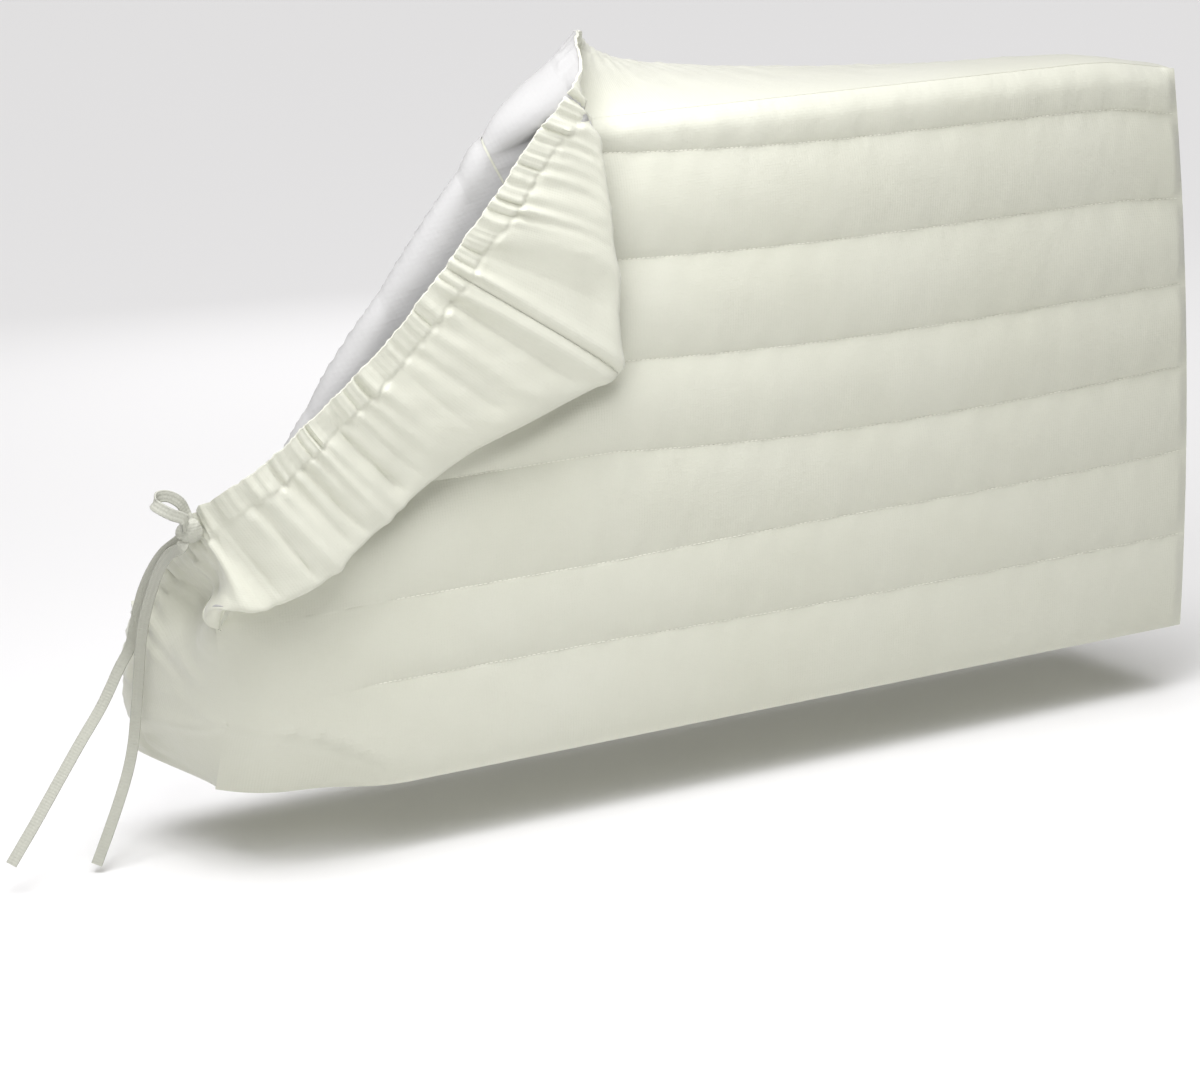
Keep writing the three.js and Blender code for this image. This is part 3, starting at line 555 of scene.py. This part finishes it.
def strip_grid(side, folds, gather, at, share, puff, seed):
    """The strip's middle surface with its gathers and folds, its outward direction, and each point's distance
    from the panel's edge."""
    middle = strip_sheet(side, at, share, puff)
    step = np.linalg.norm(np.diff(middle, axis=0), axis=-1)
    arc = np.concatenate([np.zeros((1, len(at))), np.cumsum(step, axis=0)])
    back = arc[-1] - arc
    along = np.gradient(middle, axis=1)
    to_hem = np.gradient(middle, axis=0)
    outside = unit(np.cross(along, to_hem))
    places, shares = np.broadcast_arrays(at[None, :], share[:, None])
    lift, pillow = gathers(places, back, gather, side["length"])
    for where, slant, deep, wide, start, end in folds:
        reach = ease(start, start + 0.18, shares) * ease(end + 0.08, end - 0.14, shares)
        off = places - where - slant * shares
        lift = lift - deep * (np.exp(-np.abs(off) / wide) if deep > 0 else bump(off, wide)) * reach
    from_seam = np.minimum(places, side["length"] - places)
    calm = ease(0, 12, from_seam) * ease(0.15, 0.4, shares)
    uneven = 0.3 * ripples(places, arc, 60, 22, seed) + 0.09 * ripples(places, arc, 14, 5, seed + 1)
    lift = lift + calm * uneven
    lift = lift - 0.9 * bump(from_seam, 1.4) * ease(1, 0.97, shares)
    if side is SIDES["left"]:
        near_knot = ease(236, 262, places) * ease(330, 290, places)
        lift = lift - HOLLOW["deep"] * bump(back - HOLLOW["from_hem"], HOLLOW["wide"]) * near_knot
    scallop = gather[1] * 0.55 * pillow * ease(9, 0, back)
    middle = middle + outside * lift[..., None] + unit(to_hem) * scallop[..., None]
    return middle, outside, arc


def node(tree, kind, sockets=None, **settings):
    """Adds a node, sets its settings, and gives each named socket a value or a link."""
    made = tree.nodes.new(kind)
    for key, value in settings.items():
        setattr(made, key, value)
    for key, value in (sockets or {}).items():
        if isinstance(value, bpy.types.NodeSocket):
            tree.links.new(value, made.inputs[key])
        else:
            made.inputs[key].default_value = value
    return made


def cloth_material(name, colour, shade, roughness, sheen, thread, weave_height, crinkle, crinkle_height):
    """A woven or felted cloth: its colour drifts a little between two tones, threads cross in its own UV at
    the given spacing, and a fine crinkle lies over them."""
    material = bpy.data.materials.new(name)
    material.use_nodes = True
    tree = material.node_tree
    tree.nodes.clear()
    uv = node(tree, "ShaderNodeUVMap", uv_map="cloth")
    where = node(tree, "ShaderNodeTexCoord")
    drift = node(tree, "ShaderNodeTexNoise", {
        "Vector": where.outputs["Object"],
        "Scale": 9.0,
        "Detail": 3.0,
    })
    tones = {0: drift.outputs["Fac"], 6: (*linear(shade), 1), 7: (*colour, 1)}
    tone = node(tree, "ShaderNodeMix", tones, data_type="RGBA")
    threads = {"Vector": uv.outputs["UV"], "Scale": np.pi / (20 * thread * MM)}
    warp = node(tree, "ShaderNodeTexWave", threads, wave_type="BANDS", bands_direction="X")
    weft = node(tree, "ShaderNodeTexWave", threads, wave_type="BANDS", bands_direction="Y")
    weave = node(tree, "ShaderNodeMath", {0: warp.outputs["Fac"], 1: weft.outputs["Fac"]}, operation="ADD")
    creased = node(tree, "ShaderNodeTexNoise", {
        "Vector": where.outputs["Object"],
        "Scale": 1 / (crinkle * MM),
        "Detail": 4.0,
        "Roughness": 0.6,
    })
    crinkled = node(tree, "ShaderNodeBump", {
        "Height": creased.outputs["Fac"],
        "Distance": crinkle_height * MM,
        "Strength": 1.0,
    })
    woven = node(tree, "ShaderNodeBump", {
        "Height": weave.outputs["Value"],
        "Distance": weave_height * MM,
        "Strength": 1.0,
        "Normal": crinkled.outputs["Normal"],
    })
    shader = node(tree, "ShaderNodeBsdfPrincipled", {
        "Base Color": tone.outputs[2],
        "Roughness": roughness,
        "Normal": woven.outputs["Normal"],
        "Sheen Weight": sheen,
        "Sheen Roughness": 0.5,
        "Specular IOR Level": 0.35,
    })
    node(tree, "ShaderNodeOutputMaterial", {"Surface": shader.outputs["BSDF"]})
    return material


def materials():
    """The cover's cloths, made once and found by name after that."""
    made = bpy.data.materials
    if "polyester_taffeta_shell" not in made:
        colours = bpy.context.scene.cover_colours
        # Calendered polyester taffeta: tight plain weave with a soft satin gloss. Its 0.25 mm threads are
        # too fine to show, so they are drawn at 0.9 mm.
        cloth_material("polyester_taffeta_shell", colours.shell, "CECFBE", 0.5, 0.3, 0.9, 0.035, 6.0, 0.35)
        # Spun-bonded polypropylene lining: matt, with a fibrous surface
        cloth_material("spunbond_lining", colours.lining, "AEAEAB", 0.85, 0.1, 1.4, 0.03, 3.0, 0.2)
        # Woven cotton tape: matt, its 0.6 mm threads drawn at 1 mm
        cloth_material("woven_cotton_tape", colours.tape, "B2B3A6", 0.8, 0.2, 1.0, 0.12, 4.0, 0.15)
        # Spun polyester sewing thread
        cloth_material("sewing_thread", colours.thread, "E6E6D8", 0.6, 0.1, 0.5, 0.02, 2.0, 0.05)
    return {
        "shell": made["polyester_taffeta_shell"],
        "lining": made["spunbond_lining"],
        "tape": made["woven_cotton_tape"],
        "thread": made["sewing_thread"],
    }


def catmull_rom(points, count):
    """Points at equal steps along a smooth curve through the given ones, with centripetal knots."""
    p = np.asarray(points, dtype=float)
    p = np.concatenate([[2 * p[0] - p[1]], p, [2 * p[-1] - p[-2]]])
    knots = np.concatenate([[0], np.cumsum(np.sqrt(np.linalg.norm(np.diff(p, axis=0), axis=1)))])
    t = np.linspace(knots[1], knots[-2], 20 * count)
    i = np.clip(np.searchsorted(knots, t, side="right") - 1, 1, len(p) - 3)

    def mix(a, b, ta, tb):
        return ((tb - t)[:, None] * a + (t - ta)[:, None] * b) / (tb - ta)[:, None]

    k = [knots[i + j] for j in (-1, 0, 1, 2)]
    q = [p[i + j] for j in (-1, 0, 1, 2)]
    a = [mix(q[j], q[j + 1], k[j], k[j + 1]) for j in range(3)]
    b = [mix(a[j], a[j + 1], k[j], k[j + 2]) for j in range(2)]
    curve = mix(b[0], b[1], k[1], k[2])
    run = np.concatenate([[0], np.cumsum(np.linalg.norm(np.diff(curve, axis=0), axis=1))])
    even = np.linspace(0, run[-1], count)
    return np.stack([np.interp(even, run, curve[:, j]) for j in range(3)], axis=-1), run[-1]


def off_knot(direction, gap):
    """A point off the knot's surface in a direction given as u, h and v."""
    d = np.array(direction)
    radii = np.array((KNOT["wide"], KNOT["high"], KNOT["deep"]))
    return np.array(KNOT["at"]) + d * (1 / np.linalg.norm(d / radii) + gap / np.linalg.norm(d))


def tape_grid(path, across, width, thick):
    """A flat tape along a path: a thin rounded section, a little thicker at its woven edges, laid square to
    the path with its width along the across direction."""
    run = unit(np.gradient(path, axis=0))
    wide = unit(across - (across * run).sum(-1, keepdims=True) * run)
    normal = np.cross(wide, run)
    side = np.array(TAPE_SIDE) * width / 2
    lift = np.array(TAPE_LIFT) * thick / 2
    return path[:, None] + side[None, :, None] * wide[:, None] + lift[None, :, None] * normal[:, None]


def tube_object(name, rings, materials_list, spacing):
    """A closed tube from rings of points, the given spacing apart, with flat ends and its own UV in metres
    along and round it."""
    count, sides = rings.shape[:2]
    index = np.arange(count * sides).reshape(count, sides)
    a, b = index[:-1], np.roll(index[:-1], -1, axis=1)
    c, d = np.roll(index[1:], -1, axis=1), index[1:]
    walls = np.stack([a, b, c, d], axis=-1).reshape(-1, 4)
    half = sides // 2
    steps = np.arange(half - 1)
    cap = np.stack([steps, steps + 1, (sides - steps - 2) % sides, (sides - steps - 1) % sides], axis=-1)
    cap = np.where(cap == sides, 0, cap)
    first = cap[:, ::-1]
    last = cap + (count - 1) * sides
    round_it = np.arange(sides) * ROUND_STEP * MM
    ring_uv = np.stack(np.meshgrid(round_it, np.arange(count) * spacing * MM), axis=-1)
    faces = np.concatenate([walls, first, last])
    return mesh_object(name, place(rings.reshape(-1, 3)), faces, materials_list, ring_uv.reshape(-1, 2))


class CoverSizes(bpy.types.PropertyGroup):
    quilt_puff: bpy.props.FloatProperty(
        name="Quilt puff",
        description="Height that a channel adds between two seams, mm",
        default=6.2,
        min=0,
    )
    lining_puff: bpy.props.FloatProperty(
        name="Lining puff",
        description="How far the lining swells back between two seams, mm",
        default=2.0,
        min=0,
    )
    gather_pitch: bpy.props.FloatProperty(
        name="Gather pitch",
        description="Distance between two creases of the folded hem, mm",
        default=13,
        min=4,
    )
    gather_height: bpy.props.FloatProperty(
        name="Gather height",
        description="Height of the gathers on the folded hem, mm",
        default=2.6,
        min=0,
    )
    casing: bpy.props.FloatProperty(
        name="Casing",
        description="Width of the hem's casing, mm",
        default=17,
        min=5,
    )
    tape_width: bpy.props.FloatProperty(
        name="Tape width",
        description="Width of the tie's tape, mm",
        default=7,
        min=2,
    )
    tape_thick: bpy.props.FloatProperty(
        name="Tape thickness",
        description="Thickness of the tie's tape, mm",
        default=1.3,
        min=0.3,
    )
    stitch: bpy.props.FloatProperty(
        name="Stitch",
        description="Distance from one stitch to the next, mm",
        default=3.2,
        min=1,
    )
    camera_lens: bpy.props.FloatProperty(
        name="Lens",
        description="Focal length of the camera",
        default=CAMERA_LENS,
        subtype="DISTANCE_CAMERA",
    )


class CoverColours(bpy.types.PropertyGroup):
    shell: bpy.props.FloatVectorProperty(
        name="Shell",
        description="Colour of the outer cloth",
        default=linear("D5D6C8"),
        subtype="COLOR",
    )
    lining: bpy.props.FloatVectorProperty(
        name="Lining",
        description="Colour of the lining",
        default=linear("B6B6B4"),
        subtype="COLOR",
    )
    tape: bpy.props.FloatVectorProperty(
        name="Tape",
        description="Colour of the tie",
        default=linear("BFC0B4"),
        subtype="COLOR",
    )
    thread: bpy.props.FloatVectorProperty(
        name="Thread",
        description="Colour of the stitches",
        default=linear("F2F2E6"),
        subtype="COLOR",
    )
    floor: bpy.props.FloatVectorProperty(
        name="Floor",
        description="Colour of the floor",
        default=linear("ECECEA"),
        subtype="COLOR",
    )


class COVER_OT_stage(bpy.types.Operator):
    """Pale floor, soft studio lights and the camera of the photo"""
    bl_idname = "cover.stage"
    bl_label = "Stage"

    def execute(self, context):
        scene = context.scene
        camera = bpy.data.cameras.new("photo_camera")
        camera.lens = scene.cover_sizes.camera_lens
        camera.sensor_width = SENSOR
        camera.clip_end = 60
        eye = bpy.data.objects.new("photo_camera", camera)
        right, down, ahead = (np.array(x) for x in (CAMERA_RIGHT, CAMERA_DOWN, CAMERA_AHEAD))
        turn = Matrix(np.stack([right, -down, -ahead], axis=1).tolist()).to_4x4()
        eye.matrix_world = Matrix.Translation([x * MM for x in CAMERA_AT]) @ turn
        scene.collection.objects.link(eye)
        scene.camera = eye

        paint = bpy.data.materials.new("matt_floor_paint")
        paint.use_nodes = True
        shader = paint.node_tree.nodes["Principled BSDF"]
        shader.inputs["Base Color"].default_value = (*scene.cover_colours.floor, 1)
        shader.inputs["Roughness"].default_value = 0.9
        half = 9.0
        low = CAD_BOX[0][2] - BELOW_PART
        corners = np.array([(-half, -half, low), (half, -half, low), (half, half, low), (-half, half, low)])
        mesh_object("floor", corners, np.array([[0, 1, 2, 3]]), [paint])

        world = bpy.data.worlds.new("studio")
        world.use_nodes = True
        sky = world.node_tree.nodes["Background"]
        sky.inputs["Color"].default_value = (*linear("FFFDF4"), 1)
        sky.inputs["Strength"].default_value = 0.18
        scene.world = world
        scene.view_settings.view_transform = "Standard"
        for name, kind, at, size, power in LIGHTS:
            lamp = bpy.data.lights.new(name, kind)
            lamp.energy = power
            lamp.color = linear("FBFAFF")
            if kind == "SUN":
                lamp.angle = size
            else:
                lamp.shape = "SQUARE"
                lamp.size = size
            light = bpy.data.objects.new(name, lamp)
            away = unit(np.subtract(at, AIM))
            across = unit(np.cross((0, 0, 1), away))
            axes = Matrix(np.stack([across, np.cross(away, across), away], axis=1).tolist()).to_4x4()
            light.matrix_world = Matrix.Translation(at) @ axes
            scene.collection.objects.link(light)
        return {"FINISHED"}


class COVER_OT_ties(bpy.types.Operator):
    """The drawcord's two free ends of flat tape, which come out of the knot"""
    bl_idname = "cover.ties"
    bl_label = "Ties"

    def execute(self, context):
        sizes = context.scene.cover_sizes
        tape = [materials()["tape"]]
        width, thick = sizes.tape_width, sizes.tape_thick
        for name, start, route in (
            ("tie_right_end", (-0.6, -0.8, -0.2), RIGHT_END),
            ("tie_left_end", (-0.5, -0.65, 0.6), LEFT_END),
        ):
            points = [off_knot(start, TOUCH), off_knot(start, 4), *route]
            path, length = catmull_rom(points, END_POINTS)
            across = np.cross(unit(np.gradient(path, axis=0)), END_BROAD)
            rings = tape_grid(path, across, width, thick)
            piece = tube_object(name + "_tape", rings, tape, length / (END_POINTS - 1))
            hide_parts(name)
            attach(piece, "root")
        return {"FINISHED"}


class COVER_OT_knot(bpy.types.Operator):
    """The knot's wound bands and the loop that stands out of it"""
    bl_idname = "cover.knot"
    bl_label = "Knot"

    def execute(self, context):
        sizes = context.scene.cover_sizes
        tape = [materials()["tape"]]
        width, thick = sizes.tape_width, sizes.tape_thick
        leave = [off_knot(LOOP_START, 0), off_knot(LOOP_START, 3)]
        arrive = [off_knot(LOOP_END, 3), off_knot(LOOP_END, 0)]
        path, length = catmull_rom([*leave, *LOOP, *arrive], LOOP_POINTS)
        across = np.broadcast_to(np.array(LOOP_ACROSS), path.shape)
        rings = tape_grid(path, across, width, thick)
        loop = tube_object("knot_loop", rings, tape, length / (LOOP_POINTS - 1))
        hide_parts("tie_loop")
        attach(loop, "root")
        turn = np.linspace(0, 2 * np.pi, 40, endpoint=False)[None, :]
        tilt = np.linspace(0.02, np.pi - 0.02, 24)[:, None]
        radius = 1 + 0.1 * np.cos(3 * tilt + 2 * np.sin(turn)) - 0.09 * bump(np.sin(turn + 1.3 * tilt), 0.16)
        body = np.array(KNOT["at"]) + points_of(
            KNOT["wide"] * radius * np.sin(tilt) * np.cos(turn),
            KNOT["high"] * radius * np.cos(tilt),
            KNOT["deep"] * radius * np.sin(tilt) * np.sin(turn),
        )
        knot = tube_object("knot_body", body[::-1], tape, 1.0)
        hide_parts("tie_knot")
        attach(knot, "root")
        return {"FINISHED"}


class COVER_OT_panel(bpy.types.Operator):
    """The quilted front panel with its corner folded over"""
    bl_idname = "cover.panel"
    bl_label = "Front panel"

    def execute(self, context):
        sizes = context.scene.cover_sizes
        cloth = materials()
        u, h = panel_grid(2.6, 18)
        point, _, _, front = panel_frame(u, h)
        lift = quilt_thickness(u, h, sizes.quilt_puff)
        uv = np.stack([u, h], axis=-1) * MM
        outer = point + front * lift[..., None]
        inner = point + front * rolled_back(u, h, sizes.quilt_puff)[..., None]
        panel = closed_sheet("front_panel_quilt", outer, inner, uv, [cloth["shell"]])
        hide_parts("front_panel")
        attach(panel, "root")
        return {"FINISHED"}


def panel_grid(step, rows):
    """A grid of u and h over the panel: even columns, and rows that follow the seams and crowd at them."""
    u = np.linspace(0, WIDTH, int(WIDTH / step))
    share = (1 - np.cos(np.pi * np.arange(rows) / rows)) / 2
    lines = channel_lines(u)
    rows_of = [low + (high - low) * s for low, high in zip(lines[:-1], lines[1:]) for s in share]
    h = np.stack(rows_of + [lines[-1]])
    return np.broadcast_to(u, h.shape), h


class COVER_OT_lining(bpy.types.Operator):
    """The lining behind the panel, which shows along the folded edge"""
    bl_idname = "cover.lining"
    bl_label = "Lining"

    def execute(self, context):
        sizes = context.scene.cover_sizes
        u, h = panel_grid(3.4, 12)
        wide, high = WIDTH - 2 * LINING_INSET, HEIGHT - 2 * LINING_INSET
        u, h = LINING_INSET + u * wide / WIDTH, LINING_INSET + h * high / HEIGHT
        point, _, _, front = panel_frame(u, h)
        _, share, _ = channel_share(u, h)
        edge = np.minimum(np.minimum(u, WIDTH - u), np.minimum(h, HEIGHT - h))
        swell = sizes.lining_puff * (4 * share * (1 - share)) ** 0.85 * ease(0, EDGE_PRESS, edge)
        back = LINING_CLEAR + swell + 0.15 * ripples(u, h, 60, 16, 5) * ease(0, EDGE_PRESS, edge)
        uv = np.stack([u, h], axis=-1) * MM
        point = point + front * rolled_back(u, h, sizes.quilt_puff)[..., None]
        outer = point - front * LINING_CLEAR * 0.5
        inner = point - front * (back + LINING_THICK)[..., None]
        lining = closed_sheet("panel_lining_cloth", outer, inner, uv, [materials()["lining"]])
        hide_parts("panel_lining")
        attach(lining, "root")
        return {"FINISHED"}


def between(parts):
    """One run of values from rows of start, end and step."""
    runs = []
    for start, end, step in parts:
        runs.append(np.linspace(start, end, int(round((end - start) / step)), endpoint=False))
    return np.concatenate([*runs, [parts[-1][1]]])


class COVER_OT_strips(bpy.types.Operator):
    """The plain strips round the four sides with their gathered hem"""
    bl_idname = "cover.strips"
    bl_label = "Side strips"

    def execute(self, context):
        sizes = context.scene.cover_sizes
        cloth = materials()
        fine = (sizes.gather_pitch, sizes.gather_height, sizes.casing)
        broad = (sizes.gather_pitch * 2, sizes.gather_height * 0.8, sizes.casing)
        share = between(((0, 0.8, 0.026), (0.8, 1, 0.0072)))
        plain_share = between(((0, 0.8, 0.045), (0.8, 1, 0.015)))
        for name, folds, gather, places, shares, seed, held in (
            ("top", TOP_FOLDS, fine, ((0, 440, 3), (440, WIDTH, 1.3)), share, 21, "gathered"),
            ("left", LEFT_FOLDS, fine, ((0, 270, 1.3), (270, HEIGHT, 1.8)), share, 31, "gathered"),
            ("bottom", (), broad, ((0, WIDTH, 3),), plain_share, 41, "stretched"),
            ("right", (), broad, ((0, HEIGHT, 3),), plain_share, 51, "stretched"),
        ):
            side = SIDES[name]
            at = between(places)
            if name == "top":
                pitch, height, casing = gather
                gather = (pitch, height * (0.35 + 0.65 * ease(430, 520, at)), casing)
            middle, outside, arc = strip_grid(side, folds, gather, at, shares, sizes.quilt_puff, seed)
            uv = points_of(at[None, :], arc)[..., :2] * MM
            half = outside * STRIP / 2
            outer, inner, uv = (grid[:, ::-1] for grid in (middle + half, middle - half, uv))
            piece = closed_sheet(name + "_strip_cloth", outer, inner, uv, [cloth["shell"], cloth["lining"]])
            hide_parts(name + "_strip")
            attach(piece, "root")
        return {"FINISHED"}


class COVER_OT_stitches(bpy.types.Operator):
    """The stitches that lie in the quilt's seams"""
    bl_idname = "cover.stitches"
    bl_label = "Stitches"

    def execute(self, context):
        sizes = context.scene.cover_sizes
        pitch = sizes.stitch
        along, front_at, side_at = [], [], []
        for seam in SEAMS:
            u = np.arange(max(seam[3], 6.0), WIDTH - 5, pitch)
            h = seam_height(seam, u)
            turned = fold_terms(u, h)[2]
            shown = (turned < -2) & (under_flap(u, h) < 0.5)
            u, h = u[shown], h[shown]
            point, right, up, front = panel_frame(u, h)
            along.append(point + front * (QUILT_SEAM + STITCH_LIFT))
            front_at.append(front)
            side_at.append(unit(right))
        centre, out, run = (np.concatenate(x) for x in (along, front_at, side_at))
        across = np.cross(out, run)
        rings = np.array(STITCH_RINGS) * STITCH_SHARE * pitch
        radii = np.array(STITCH_RADII)
        turn = np.linspace(0, 2 * np.pi, 6, endpoint=False)
        grid = (centre[:, None, None] + rings[None, :, None, None] * run[:, None, None]
                + (radii[:, None] * np.cos(turn))[None, ..., None] * across[:, None, None]
                + (radii[:, None] * np.sin(turn))[None, ..., None] * out[:, None, None])
        count, lengths, sides = grid.shape[:3]
        index = np.arange(lengths * sides).reshape(lengths, sides)
        a, d = index[:-1], index[1:]
        walls = np.stack([a, np.roll(a, -1, axis=1), np.roll(d, -1, axis=1), d], axis=-1).reshape(-1, 4)
        caps = np.array([[3, 2, 1, 0], [5, 4, 3, 0]])
        ends = np.concatenate([caps, caps[:, ::-1] + (lengths - 1) * sides])
        one = np.concatenate([walls, ends])
        faces = (one[None] + (np.arange(count) * lengths * sides)[:, None, None]).reshape(-1, 4)
        one_uv = np.stack([index % sides * 0.0003, index // sides * 0.0005], axis=-1).reshape(-1, 2)
        uvs = np.tile(one_uv, (count, 1))
        piece = mesh_object("quilt_stitches", place(grid.reshape(-1, 3)), faces, [materials()["thread"]], uvs)
        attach(piece, "root")
        return {"FINISHED"}


OPERATORS = (COVER_OT_stage, COVER_OT_ties, COVER_OT_knot, COVER_OT_panel, COVER_OT_lining, COVER_OT_strips,
             COVER_OT_stitches)


class COVER_PT_panel(bpy.types.Panel):
    """Lists the cover's pieces in the order in which they are made"""
    bl_label = "Air Conditioner Cover"
    bl_idname = "COVER_PT_panel"
    bl_space_type = "VIEW_3D"
    bl_region_type = "UI"
    bl_category = "Cover"

    def draw(self, context):
        for group in (context.scene.cover_sizes, context.scene.cover_colours):
            for key in group.__annotations__:
                self.layout.prop(group, key)
        for operator in OPERATORS:
            self.layout.operator(operator.bl_idname)


CLASSES = (CoverSizes, CoverColours, *OPERATORS, COVER_PT_panel)


def register():
    for kind in CLASSES:
        bpy.utils.register_class(kind)
    bpy.types.Scene.cover_sizes = bpy.props.PointerProperty(type=CoverSizes)
    bpy.types.Scene.cover_colours = bpy.props.PointerProperty(type=CoverColours)


def unregister():
    del bpy.types.Scene.cover_colours
    del bpy.types.Scene.cover_sizes
    for kind in reversed(CLASSES):
        bpy.utils.unregister_class(kind)


def main():
    """Builds every piece in order."""
    register()
    bpy.ops.cover.stage()
    bpy.ops.cover.ties()
    bpy.ops.cover.knot()
    bpy.ops.cover.panel()
    bpy.ops.cover.lining()
    bpy.ops.cover.strips()
    bpy.ops.cover.stitches()


if __name__ == "__main__":
    main()
